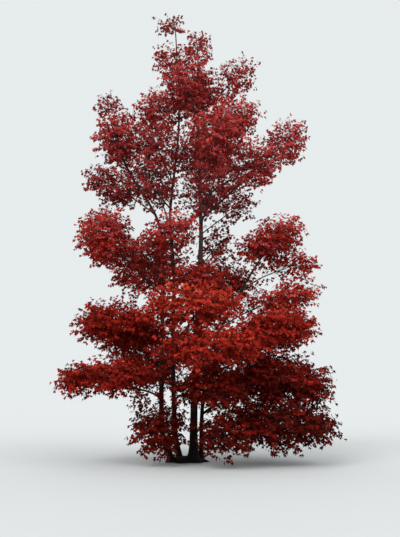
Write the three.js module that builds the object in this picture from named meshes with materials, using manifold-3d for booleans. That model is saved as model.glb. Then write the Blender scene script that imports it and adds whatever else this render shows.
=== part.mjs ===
// A red maple in autumn leaf: a clump of four stems from one stool, its boughs and its masses of leaves.
// Millimetres, +Z up. The origin is the flat cut under the main stem, and the viewer's side is -Y.

import * as THREE from 'three';
import { mergeVertices } from 'three/addons/utils/BufferGeometryUtils.js';
import Module from 'manifold-3d';

const wasm = await Module();
wasm.setup();

const METRE = 1000;
const UP = new THREE.Vector3(0, 0, 1);
const point = (x, y, z) => new THREE.Vector3(x, y, z);

// Nearly upright, so that no limb is parallel to it
const LEANING = point(0.17, 0.11, 1).normalize();

// Clearance between pieces that touch, and the least way between foliage and a limb it doesn't grow from
const SEAT_GAP = 0.3;
const LEAF_CLEARANCE = 1.5;

// How far a fused mass's surface may shift where its smallest facets are merged
const FUSE_TOLERANCE = 0.2;

// Stool: the low mound of old wood that the four stems spring from
const STOOL = { centre: [-190, 60], halfWidth: 560, halfDepth: 400, height: 150, toes: 7, toeDepth: 0.12 };

// Root flare of a stem: how much wider its foot is, and the height in which that dies away
const FLARE = { main: 0.75, other: 0.4, height: 260, toes: 5, toeDepth: 0.22, ringSpread: 1.7 };

// The four stems: the way each one takes from its foot to its tip, and its radius at both ends
const STEMS = {
  trunk: {
    foot: 112, tip: 24, flare: FLARE.main, sides: 10, steps: 11,
    way: [[0, 0, 0], [15, 0, 1500], [90, -50, 3450], [170, -100, 5250], [200, -100, 6250],
      [150, -100, 7900], [110, -100, 9900], [110, -100, 11300]],
  },
  stem_left: {
    foot: 80, tip: 20, flare: FLARE.other, sides: 7, steps: 8,
    way: [[-560, -40, 0], [-830, -90, 900], [-860, -100, 3400], [-860, -100, 5000], [-1020, 0, 6550],
      [-1840, 160, 8000], [-2260, 280, 9000], [-2500, 120, 9750]],
  },
  stem_middle: {
    foot: 74, tip: 18, flare: FLARE.other, sides: 7, steps: 8,
    way: [[-360, 230, 0], [-520, 300, 1000], [-580, 300, 3500], [-570, 250, 5200], [-690, 200, 6800],
      [-480, 150, 9100], [-460, 100, 10400], [-560, 0, 12350]],
  },
  stem_right: {
    foot: 62, tip: 30, flare: FLARE.other, sides: 7, steps: 8,
    way: [[200, 180, 0], [235, 240, 1400], [440, 300, 2900], [1030, 350, 4050], [1560, 300, 5000],
      [1850, 150, 5450]],
  },
};

// The masses of leaves. at: centre; size: half width, half depth, half height; from: the stem it grows on
// and the height where it leaves it, or the stem's tip; bough: true where a bough of its own carries it out;
// lean: by how many degrees its right end is raised.
const MASSES = {
  top_tuft: { at: [-600, 0, 12680], size: [300, 300, 350], from: ['stem_middle', 'tip'] },
  right_peak: { at: [100, -100, 11820], size: [380, 520, 620], from: ['trunk', 'tip'] },
  left_peak: { at: [-820, 80, 11690], size: [420, 520, 420], from: ['stem_middle', 10900] },
  upper_front: { at: [-190, -600, 10600], size: [830, 950, 700], from: ['trunk', 9500] },
  upper_back: { at: [20, 850, 10750], size: [1030, 1050, 850], from: ['trunk', 9900] },
  upper_right: { at: [1240, 0, 11050], size: [660, 750, 450], from: ['trunk', 9700], lean: 22 },
  left_shoulder: { at: [-1100, 0, 9950], size: [800, 1050, 530], from: ['stem_middle', 9250], lean: 20 },
  right_shoulder: { at: [1170, 100, 9770], size: [890, 1100, 520], from: ['trunk', 8700] },
  left_spire: { at: [-2550, 0, 10180], size: [300, 420, 520], from: ['stem_left', 'tip'] },
  left_mass: { at: [-2190, -150, 9030], size: [720, 1150, 800], from: ['stem_left', 7900] },
  centre_front: { at: [620, -1150, 8740], size: [1080, 1100, 800], from: ['trunk', 7600] },
  centre_back: { at: [330, 1500, 9100], size: [1330, 1200, 950], from: ['trunk', 8150] },
  mid_left: { at: [-1080, -600, 8640], size: [860, 1050, 820], from: ['stem_middle', 7800] },
  right_far: { at: [2680, 0, 8970], size: [700, 950, 600], from: ['trunk', 6600], bough: true, lean: 35 },
  right_mid: { at: [1780, -300, 8200], size: [720, 1150, 720], from: ['trunk', 7100] },
  lower_mid_front: { at: [580, -1150, 7460], size: [1050, 1100, 580], from: ['trunk', 6400] },
  lower_mid_back: { at: [500, 1500, 7750], size: [1400, 1300, 620], from: ['trunk', 6700] },
  left_low: { at: [-2350, 0, 7620], size: [940, 1200, 560], from: ['stem_left', 6750], lean: -25 },
  left_centre_low: { at: [-1130, -900, 7620], size: [860, 1000, 560], from: ['stem_middle', 6500] },
  left_centre_back: { at: [-1530, 1350, 8300], size: [1160, 1200, 850], from: ['stem_middle', 7000] },
  loose_right: { at: [1300, 250, 7080], size: [640, 800, 380], from: ['trunk', 6150] },
  loose_centre: { at: [640, 550, 5970], size: [710, 800, 520], from: ['trunk', 5200] },
  left_spray: { at: [-2460, -500, 5970], size: [800, 1300, 880], from: ['stem_left', 4400], bough: true },
  left_band: { at: [-1220, -600, 5500], size: [950, 1050, 340], from: ['stem_left', 4750], lean: -14 },
  centre_left_spray: {
    at: [-570, -1400, 5890], size: [790, 1100, 440],
    from: ['stem_middle', 4900], lean: 22,
  },
  centre_spray: { at: [60, -950, 4800], size: [1030, 1150, 420], from: ['trunk', 4000] },
  right_spray: { at: [2170, -100, 5930], size: [1120, 1450, 600], from: ['stem_right', 'tip'], lean: 25 },
  right_tail: { at: [2990, 0, 5360], size: [610, 1000, 290], from: ['stem_right', 4600], lean: -25 },
  right_skirt_high: { at: [2620, -200, 4360], size: [1060, 1250, 500], from: ['stem_right', 3500], lean: 10 },
  right_skirt: { at: [2250, -600, 3470], size: [1020, 1500, 640], from: ['stem_right', 2600], bough: true },
  centre_skirt: { at: [0, -2000, 3840], size: [1480, 1150, 680], from: ['trunk', 2700], bough: true },
  centre_skirt_low: {
    at: [510, -2350, 2890], size: [1760, 1150, 590],
    from: ['trunk', 2000], bough: true, lean: 5,
  },
  left_skirt: {
    at: [-1970, -600, 3530], size: [1340, 1400, 680],
    from: ['stem_left', 2900], bough: true, lean: -8,
  },
  left_long_spray: {
    at: [-2180, -1100, 2200], size: [1770, 1300, 540],
    from: ['stem_left', 1600], bough: true, lean: 6,
  },
  low_centre: { at: [390, -1350, 1890], size: [1160, 1150, 590], from: ['trunk', 1250] },
  low_front: { at: [860, -1400, 820], size: [950, 950, 620], from: ['trunk', 650] },
  right_low: {
    at: [2420, -400, 2120], size: [1550, 1600, 800],
    from: ['stem_right', 1200], bough: true, lean: -12,
  },
  right_lowest: {
    at: [2250, -700, 1060], size: [1800, 1500, 800],
    from: ['stem_right', 650], bough: true, lean: -7,
  },
  low_left: { at: [-850, -800, 880], size: [860, 900, 800], from: ['stem_left', 600] },
  back_low_left: {
    at: [-1360, 1800, 2950], size: [1600, 1400, 1250],
    from: ['stem_middle', 1900], bough: true,
  },
  back_low_right: {
    at: [1460, 1850, 2600], size: [1750, 1450, 1300],
    from: ['stem_right', 1700], bough: true,
  },
  back_mid_left: {
    at: [-1560, 1750, 5650], size: [1350, 1400, 1050],
    from: ['stem_middle', 4800], bough: true,
  },
  back_mid_right: { at: [750, 1800, 5050], size: [1500, 1400, 950], from: ['trunk', 4200], bough: true },
};

// A bough gains radius for each millimetre back to its root. The radius of a mass's stem grows with each
// metre of the mass's mean size, and the stem ends thinner.
const BOUGH = { taper: 0.006, sides: 5, steps: 3 };
const MASS_STEM = { thin: 11, perMetre: 13, sides: 4, steps: 2, tipShare: 0.6 };

// How a limb bends: its rise where it leaves a stem, and the shares of its length over which it holds that
// heading and its last one
const BEND = { rise: 0.9, leaving: 0.4, stemLeaving: 0.35, arriving: 0.3 };

// Twigs: their count grows with the mass's mean size, and they leave the stem a little behind their ends.
// Their ends reach a share of the mass's size along each of its ways, and more along a way that is longer
// than the mean.
const TWIG = {
  least: 1.6, perMetre: 3.2, most: 6, reach: 0.26, wander: 0.06, behind: 0.22, first: 0.3, last: 0.9,
  thick: 9, thin: 7, sides: 3,
};

// Leaves, each of which stands for a spray. width: half width, and thick, in shares of the length; places:
// where a twig's leaves sit along it and how far they are fanned out; shares: the lengths tried in turn.
const LEAF = {
  width: 0.46, widest: 0.55, thick: 0.03, sunk: 2, fill: 0.98, leastRoll: 0.1, mostRoll: 0.5,
  places: [[1, 0], [0.85, 1.2], [0.65, -1.2]], shortest: 185, longest: 800,
  shares: [1, 0.9, 0.8, 0.7, 0.6, 0.5, 0.4],
};
const GOLDEN_TURN = Math.PI * (3 - Math.sqrt(5));

// Spaces, in shares of a mass's size: the least way between two, where a bough enters, where the stem ends,
// and the step by which room is measured
const SPACE = { margin: 0.025, entry: 0.8, entryStep: 0.02, stemEnd: 0.42, roomStep: 0.04 };

const COLOURS = {
  bark: new THREE.MeshStandardMaterial({ color: 0x4a443e, roughness: 0.9, metalness: 0 }),
  leaves: new THREE.MeshStandardMaterial({ color: 0x9c1a1c, roughness: 0.6, metalness: 0 }),
};

// Dice: the same seed always rolls the same numbers
class Dice {
  constructor(seed) {
    this.state = (seed * 7919 + 104729) % 2147483647;
    this.roll();
    this.roll();
  }

  roll() {
    this.state = (this.state * 48271) % 2147483647;
    return this.state / 2147483647;
  }

  between(low, high) {
    return low + (high - low) * this.roll();
  }
}

// Solids
function solidOf(geometry) {
  const bare = geometry.clone();
  bare.deleteAttribute('normal');
  bare.deleteAttribute('uv');
  const merged = mergeVertices(bare, 1e-3);
  return new wasm.Manifold(new wasm.Mesh({
    numProp: 3,
    vertProperties: new Float32Array(merged.attributes.position.array),
    triVerts: new Uint32Array(merged.index.array),
  }));
}

function geometryOf(solid) {
  const { numProp, vertProperties, triVerts } = solid.getMesh();
  const places = new Float32Array(vertProperties.length / numProp * 3);
  for (let i = 0; i < places.length / 3; i += 1) {
    places.set(vertProperties.subarray(i * numProp, i * numProp + 3), i * 3);
  }
  const geometry = new THREE.BufferGeometry();
  geometry.setAttribute('position', new THREE.BufferAttribute(places, 3));
  geometry.setIndex(new THREE.BufferAttribute(new Uint32Array(triVerts), 1));
  return geometry;
}

// The largest body of a solid: what fusing left loose is dropped
function wholeBody(solid) {
  const bodies = solid.decompose();
  return bodies.reduce((largest, body) => (body.volume() > largest.volume() ? body : largest));
}

// Where a limb's rings lie along it: evenly, or closer together towards its foot
const evenRings = (steps) => Array.from({ length: steps + 1 }, (_, ring) => ring / steps);
const footRings = (steps) => evenRings(steps).map((along) => along ** FLARE.ringSpread);

// A round limb along a curve: a cylinder whose rings are moved onto the curve and given their own radius. A
// stem's first ring is pressed flat onto the ground.
function limbSolid(curve, sides, rings, radiusAt, { flatFoot = false } = {}) {
  const steps = rings.length - 1;
  const straight = new THREE.CylinderGeometry(1, 1, 1, sides, steps);
  let across = new THREE.Vector3().crossVectors(curve.getTangentAt(0), LEANING);
  const frames = rings.map((along) => {
    const heading = curve.getTangentAt(along);
    across = across.clone().addScaledVector(heading, -across.dot(heading)).normalize();
    return { across, side: new THREE.Vector3().crossVectors(heading, across) };
  });
  const places = straight.attributes.position;
  for (let i = 0; i < places.count; i += 1) {
    const ring = Math.round((places.getY(i) + 0.5) * steps);
    const [x, z] = [places.getX(i), places.getZ(i)];
    const radius = radiusAt(rings[ring], Math.atan2(z, x));
    const place = curve.getPointAt(rings[ring])
      .addScaledVector(frames[ring].side, x * radius)
      .addScaledVector(frames[ring].across, z * radius);
    if (flatFoot && ring === 0) place.setZ(0);
    places.setXYZ(i, place.x, place.y, place.z);
  }
  return solidOf(straight);
}

// A place on a limb's axis as its rings make it, straight from each ring to the next
function onLimb(curve, rings, along) {
  const next = Math.max(1, rings.findIndex((ring) => ring >= along));
  const [before, after] = [rings[next - 1], rings[next]];
  return curve.getPointAt(before).lerp(curve.getPointAt(after), (along - before) / (after - before));
}

// Stems
function stemCurve({ way }) {
  return new THREE.CatmullRomCurve3(way.map((place) => point(...place)), false, 'catmullrom', 0.5);
}

function stemRadius(stem, length, extra) {
  return (along, angle) => {
    const height = along * length;
    const plain = THREE.MathUtils.lerp(stem.foot, stem.tip, along ** 0.85);
    const toes = 1 + FLARE.toeDepth * Math.cos(FLARE.toes * angle);
    return plain * (1 + stem.flare * toes * Math.exp(-height / FLARE.height)) + extra;
  };
}

// A stem's place at a height above the ground
function onStem(curve, rings, height) {
  let [low, high] = [0, 1];
  while (high - low > 1e-6) {
    const middle = (low + high) / 2;
    if (onLimb(curve, rings, middle).z < height) low = middle;
    else high = middle;
  }
  return onLimb(curve, rings, low);
}

function stemSolid(name, extra = 0) {
  const stem = STEMS[name];
  const curve = stemCurve(stem);
  const radiusAt = stemRadius(stem, curve.getLength(), extra);
  return limbSolid(curve, stem.sides, footRings(stem.steps), radiusAt, { flatFoot: true });
}

// The stool is a lathe-turned dome with a flat underside, stretched to its width and depth, with root toes
function stoolSolid(extra = 0) {
  const profile = [[0, 0], [1, 0], [0.92, 0.36], [0.7, 0.76], [0.35, 0.97], [0, 1]];
  const dome = new THREE.LatheGeometry(profile.map(([r, z]) => new THREE.Vector2(r, z)), 12);
  dome.rotateX(Math.PI / 2);
  const places = dome.attributes.position;
  const [middleX, middleY] = STOOL.centre;
  for (let i = 0; i < places.count; i += 1) {
    const [x, y, z] = [places.getX(i), places.getY(i), places.getZ(i)];
    const toe = 1 + STOOL.toeDepth * Math.cos(STOOL.toes * Math.atan2(y, x));
    const rise = z * (STOOL.height + extra);
    places.setXYZ(
      i,
      middleX + x * toe * (STOOL.halfWidth + extra),
      middleY + y * toe * (STOOL.halfDepth + extra),
      rise,
    );
  }
  return solidOf(dome);
}

// Spaces of the masses
const vectorOf = ({ at }) => point(...at);
const meanSize = ({ size }) => Math.cbrt(size[0] * size[1] * size[2]);

// The three ways along which a mass has its half width, depth and height
function waysOf({ lean = 0 }) {
  const turn = THREE.MathUtils.degToRad(lean);
  return [
    point(Math.cos(turn), 0, Math.sin(turn)),
    point(0, 1, 0),
    point(-Math.sin(turn), 0, Math.cos(turn)),
  ];
}

for (const mass of Object.values(MASSES)) mass.ways = waysOf(mass);

const inShares = ({ size, ways }, offset) => Math.hypot(
  ...ways.map((way, axis) => offset.dot(way) / size[axis]),
);
const shareOut = (mass, place) => inShares(mass, place.clone().sub(vectorOf(mass)));
const reachAlong = (mass, way) => 1 / inShares(mass, way);

function ownsPlace(mass, place) {
  const share = shareOut(mass, place);
  return share <= 1 && Object.values(MASSES).every(
    (other) => other === mass || shareOut(other, place) > share + SPACE.margin,
  );
}

// The last place of a mass's space on the straight way from its centre to where its limb comes from
function entryOf(mass, origin) {
  const centre = vectorOf(mass);
  let entry = centre;
  for (let share = 0; share < 1; share += SPACE.entryStep) {
    const place = centre.clone().lerp(origin, share);
    if (!ownsPlace(mass, place) || shareOut(mass, place) > SPACE.entry) break;
    entry = place;
  }
  return entry;
}

// A mass's bough and stem, laid out as curves before any solid is made
function layOut(name, mass) {
  const [stemName, height] = mass.from;
  const stem = STEMS[stemName];
  const curve = stemCurve(stem);
  const atTip = height === 'tip';
  const root = atTip ? curve.getPointAt(1) : onStem(curve, footRings(stem.steps), height);
  const stemThick = atTip ? stem.tip : MASS_STEM.thin + MASS_STEM.perMetre * meanSize(mass) / METRE;
  const entry = entryOf(mass, root);
  const centre = vectorOf(mass);
  const inward = centre.clone().sub(atTip ? root : entry).normalize();
  const end = centre.clone().addScaledVector(inward, SPACE.stemEnd * reachAlong(mass, inward));
  const out = entry.clone().sub(root).setZ(0).normalize();

  const laid = { name, mass, stemName, stemThick, bough: null };
  let start = root.clone();
  let heading = atTip ? curve.getTangentAt(1) : out.clone().addScaledVector(UP, BEND.rise).normalize();
  if (mass.bough) {
    const length = entry.distanceTo(root);
    laid.bough = new THREE.CubicBezierCurve3(
      root,
      root.clone().addScaledVector(heading, length * BEND.leaving),
      entry.clone().addScaledVector(inward, -length * BEND.arriving),
      entry,
    );
    start = entry;
    heading = inward;
  }
  laid.gap = Boolean(mass.bough) || atTip;
  if (laid.gap) start = start.clone().addScaledVector(heading, SEAT_GAP);
  const length = end.distanceTo(start);
  laid.stem = new THREE.CubicBezierCurve3(
    start,
    start.clone().addScaledVector(heading, length * BEND.stemLeaving),
    end.clone().addScaledVector(inward, -length * BEND.arriving),
    end,
  );
  return laid;
}

function boughSolid({ bough, stemName, stemThick }) {
  const length = bough.getLength();
  const radiusAt = (along) => stemThick + BOUGH.taper * length * (1 - along);
  const whole = limbSolid(bough, BOUGH.sides, evenRings(BOUGH.steps), radiusAt);
  return wholeBody(whole.subtract(cutters[stemName]));
}

const STEM_RINGS = evenRings(MASS_STEM.steps);

function massStemSolid({ stem, stemName, stemThick, gap }) {
  const radiusAt = (along) => stemThick * THREE.MathUtils.lerp(1, MASS_STEM.tipShare, along);
  const whole = limbSolid(stem, MASS_STEM.sides, STEM_RINGS, radiusAt);
  return gap ? whole : wholeBody(whole.subtract(cutters[stemName]));
}

// Which of a plain tetrahedron's four corners a vertex is, by the signs of its place
function cornerOf(x, y, z) {
  if (x > 0) return y > 0 ? 0 : 1;
  return z > 0 ? 2 : 3;
}

// A leaf: a tetrahedron pressed to a thin kite, keeled along one side from its root to its tip
function leafSolid(root, way, face, length) {
  const side = new THREE.Vector3().crossVectors(face, way).normalize();
  const flat = new THREE.Vector3().crossVectors(way, side).normalize();
  const [half, thick] = [LEAF.width * length, LEAF.thick * length];
  const middle = root.clone().addScaledVector(way, LEAF.widest * length).addScaledVector(flat, thick);
  const corners = [
    root,
    root.clone().addScaledVector(way, length),
    middle.clone().addScaledVector(side, half),
    middle.clone().addScaledVector(side, -half),
  ];
  const kite = new THREE.TetrahedronGeometry(1);
  const places = kite.attributes.position;
  for (let i = 0; i < places.count; i += 1) {
    const { x, y, z } = corners[cornerOf(places.getX(i), places.getY(i), places.getZ(i))];
    places.setXYZ(i, x, y, z);
  }
  return solidOf(kite);
}

// How far a place can go along a way before it leaves the space
function roomAhead(mass, place, way) {
  const step = meanSize(mass) * SPACE.roomStep;
  let room = 0;
  while (ownsPlace(mass, place.clone().addScaledVector(way, room + step))) room += step;
  return room;
}

function cornersOf(solid) {
  const { numProp, vertProperties } = solid.getMesh();
  const corners = [];
  for (let i = 0; i < vertProperties.length; i += numProp) {
    corners.push(point(vertProperties[i], vertProperties[i + 1], vertProperties[i + 2]));
  }
  return corners;
}

const obstacle = (solid) => ({ solid, box: solid.boundingBox() });

// True where a piece stays in the mass's space and clear of every limb that isn't its own
function fits(mass, piece, others) {
  if (!cornersOf(piece).every((corner) => ownsPlace(mass, corner))) return false;
  const { min, max } = piece.boundingBox();
  return others.every(({ solid, box }) => {
    const apart = [0, 1, 2].some((axis) => min[axis] > box.max[axis] + LEAF_CLEARANCE
      || max[axis] < box.min[axis] - LEAF_CLEARANCE);
    return apart || piece.minGap(solid, LEAF_CLEARANCE) >= LEAF_CLEARANCE;
  });
}

// A spray points out of the mass and lies in one plane, rolled to either side of upright
function sprayOf(mass, dice, placeAt) {
  const ahead = placeAt(1).sub(vectorOf(mass)).normalize();
  const roll = dice.between(LEAF.leastRoll, LEAF.mostRoll) * (dice.roll() < 0.5 ? -1 : 1);
  const face = new THREE.Vector3().crossVectors(ahead, LEANING).normalize().applyAxisAngle(ahead, roll);
  return { placeAt, face, ahead };
}

// A leaf of a spray, as long as its space lets it be, or nothing where not even a short one is clear
function sprayLeaf(mass, { placeAt, face, ahead }, along, fan, others) {
  const root = placeAt(along);
  const way = ahead.clone().applyAxisAngle(face, fan);
  const start = root.clone().addScaledVector(way, -LEAF.sunk);
  const wanted = Math.min(roomAhead(mass, root, way) * LEAF.fill, LEAF.longest);
  for (const share of LEAF.shares) {
    const length = wanted * share + LEAF.sunk;
    if (length < LEAF.shortest) return null;
    const leaf = leafSolid(start, way, face, length);
    if (fits(mass, leaf, others)) return leaf;
  }
  return null;
}

// A twig leaves the stem a little behind its target
function twigRoot(stem, target) {
  const placeAt = (along) => onLimb(stem, STEM_RINGS, along);
  let nearest = 0;
  for (let along = 0; along <= 1; along += 0.05) {
    if (placeAt(along).distanceTo(target) < placeAt(nearest).distanceTo(target)) nearest = along;
  }
  return placeAt(THREE.MathUtils.clamp(nearest - TWIG.behind, TWIG.first, TWIG.last));
}

// One mass: its stem, twigs to places spread evenly through its space, and their leaves, fused
function massSolid(number, laid, others) {
  const { mass, stem } = laid;
  const count = Math.round(Math.min(TWIG.most, TWIG.least + TWIG.perMetre * meanSize(mass) / METRE));
  const pieces = [massStemSolid(laid)];
  const sprays = [sprayOf(mass, new Dice(number * 100), (along) => onLimb(stem, STEM_RINGS, along))];
  const woods = [obstacle(pieces[0])];
  for (let twig = 0; twig < count; twig += 1) {
    const dice = new Dice(number * 100 + twig + 1);
    const rise = 1 - 2 * (twig + 0.5) / count;
    const turn = twig * GOLDEN_TURN + number;
    const ring = Math.sqrt(1 - rise * rise);
    const reach = TWIG.reach + dice.between(-TWIG.wander, TWIG.wander);
    const target = vectorOf(mass);
    [ring * Math.cos(turn), ring * Math.sin(turn), rise].forEach((share, axis) => {
      const stretched = mass.size[axis] ** 2 / meanSize(mass);
      target.addScaledVector(mass.ways[axis], stretched * reach * share);
    });
    const line = new THREE.LineCurve3(twigRoot(stem, target), target);
    const radiusAt = (along) => THREE.MathUtils.lerp(TWIG.thick, TWIG.thin, along);
    const wood = limbSolid(line, TWIG.sides, evenRings(1), radiusAt);
    if (!fits(mass, wood, others)) continue;
    woods.push(obstacle(wood));
    pieces.push(wood);
    sprays.push(sprayOf(mass, dice, (along) => line.getPointAt(along)));
  }
  const leaves = [];
  for (const [along, fan] of LEAF.places) {
    sprays.forEach((spray, own) => {
      const blocks = [...others, ...woods.filter((_, other) => other !== own), ...leaves];
      const leaf = sprayLeaf(mass, spray, along, fan, blocks);
      if (leaf) leaves.push(obstacle(leaf));
    });
  }
  pieces.push(...leaves.map(({ solid }) => solid));
  const whole = wasm.Manifold.union(pieces).simplify(FUSE_TOLERANCE);
  return wholeBody(laid.gap ? whole : whole.subtract(cutters[laid.stemName]));
}

// The stems enlarged by the seat gap, to cut what grows on them. The main stem and the stool are one solid.
const cutters = { trunk: stemSolid('trunk', SEAT_GAP).add(stoolSolid(SEAT_GAP)) };
const solids = { trunk: stemSolid('trunk').add(stoolSolid()) };
for (const name of ['stem_left', 'stem_middle', 'stem_right']) {
  cutters[name] = stemSolid(name, SEAT_GAP);
  solids[name] = wholeBody(stemSolid(name).subtract(cutters.trunk));
}

// Every mass grows clear of all limbs and of the other masses' stems
const laidOut = Object.entries(MASSES).map(([name, mass]) => layOut(name, mass));
for (const laid of laidOut) {
  if (laid.bough) solids[`bough_${laid.name}`] = boughSolid(laid);
}

const limbs = Object.values(solids).map(obstacle);
const massStems = laidOut.map((laid) => obstacle(massStemSolid(laid)));
laidOut.forEach((laid, number) => {
  const others = [...limbs, ...massStems.filter((_, other) => other !== number)];
  solids[laid.name] = massSolid(number, laid, others);
});

const tree = new THREE.Group();
for (const [name, solid] of Object.entries(solids)) {
  const mesh = new THREE.Mesh(geometryOf(solid), name in MASSES ? COLOURS.leaves : COLOURS.bark);
  mesh.name = name;
  tree.add(mesh);
}

export default tree;
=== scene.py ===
"""A red maple in autumn leaf: four stems from one stool, their boughs, twigs and leaves. Metres, +Z up."""

import math

import bpy
import numpy as np
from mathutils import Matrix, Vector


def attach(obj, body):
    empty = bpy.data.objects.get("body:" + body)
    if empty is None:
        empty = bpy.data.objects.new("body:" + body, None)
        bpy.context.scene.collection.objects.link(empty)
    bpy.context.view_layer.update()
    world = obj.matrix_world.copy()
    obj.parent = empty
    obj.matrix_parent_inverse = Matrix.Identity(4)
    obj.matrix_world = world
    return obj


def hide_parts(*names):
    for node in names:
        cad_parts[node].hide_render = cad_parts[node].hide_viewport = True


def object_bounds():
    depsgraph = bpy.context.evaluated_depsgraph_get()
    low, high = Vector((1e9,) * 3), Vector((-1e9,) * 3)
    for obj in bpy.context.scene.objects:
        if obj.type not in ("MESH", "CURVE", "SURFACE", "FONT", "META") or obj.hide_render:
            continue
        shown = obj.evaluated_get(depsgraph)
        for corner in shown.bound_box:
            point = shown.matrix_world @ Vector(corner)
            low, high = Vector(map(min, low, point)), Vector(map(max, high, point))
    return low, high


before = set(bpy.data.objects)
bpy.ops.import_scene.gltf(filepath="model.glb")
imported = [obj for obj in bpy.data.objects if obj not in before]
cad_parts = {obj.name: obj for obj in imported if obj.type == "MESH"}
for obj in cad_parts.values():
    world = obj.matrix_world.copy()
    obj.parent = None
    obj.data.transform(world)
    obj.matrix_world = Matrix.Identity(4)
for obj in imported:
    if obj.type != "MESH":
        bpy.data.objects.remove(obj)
cad_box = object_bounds()

# LEANING is nearly upright, and no limb runs along it
UP = np.array([0.0, 0.0, 1.0])
LEANING = np.array([0.17, 0.11, 1.0]) / np.linalg.norm([0.17, 0.11, 1.0])
GOLDEN_TURN = math.pi * (3 - math.sqrt(5))

# The four stems: radius at foot and tip, flare of the foot, and the way each one takes
STEMS = {
    "trunk": {
        "foot": 0.112, "tip": 0.024, "flare": 0.75,
        "way": [(0, 0, 0), (0.015, 0, 1.5), (0.09, -0.05, 3.45), (0.17, -0.1, 5.25), (0.2, -0.1, 6.25),
                (0.15, -0.1, 7.9), (0.11, -0.1, 9.9), (0.11, -0.1, 11.3)],
    },
    "stem_left": {
        "foot": 0.08, "tip": 0.02, "flare": 0.4,
        "way": [(-0.56, -0.04, 0), (-0.83, -0.09, 0.9), (-0.86, -0.1, 3.4), (-0.86, -0.1, 5),
                (-1.02, 0, 6.55), (-1.84, 0.16, 8), (-2.26, 0.28, 9), (-2.5, 0.12, 9.75)],
    },
    "stem_middle": {
        "foot": 0.074, "tip": 0.018, "flare": 0.4,
        "way": [(-0.36, 0.23, 0), (-0.52, 0.3, 1), (-0.58, 0.3, 3.5), (-0.57, 0.25, 5.2),
                (-0.69, 0.2, 6.8), (-0.48, 0.15, 9.1), (-0.46, 0.1, 10.4), (-0.56, 0, 12.35)],
    },
    "stem_right": {
        "foot": 0.062, "tip": 0.03, "flare": 0.4,
        "way": [(0.2, 0.18, 0), (0.235, 0.24, 1.4), (0.44, 0.3, 2.9), (1.03, 0.35, 4.05),
                (1.56, 0.3, 5), (1.85, 0.15, 5.45)],
    },
}
TIP = "tip"
NEAR_TIP = 0.995

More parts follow.
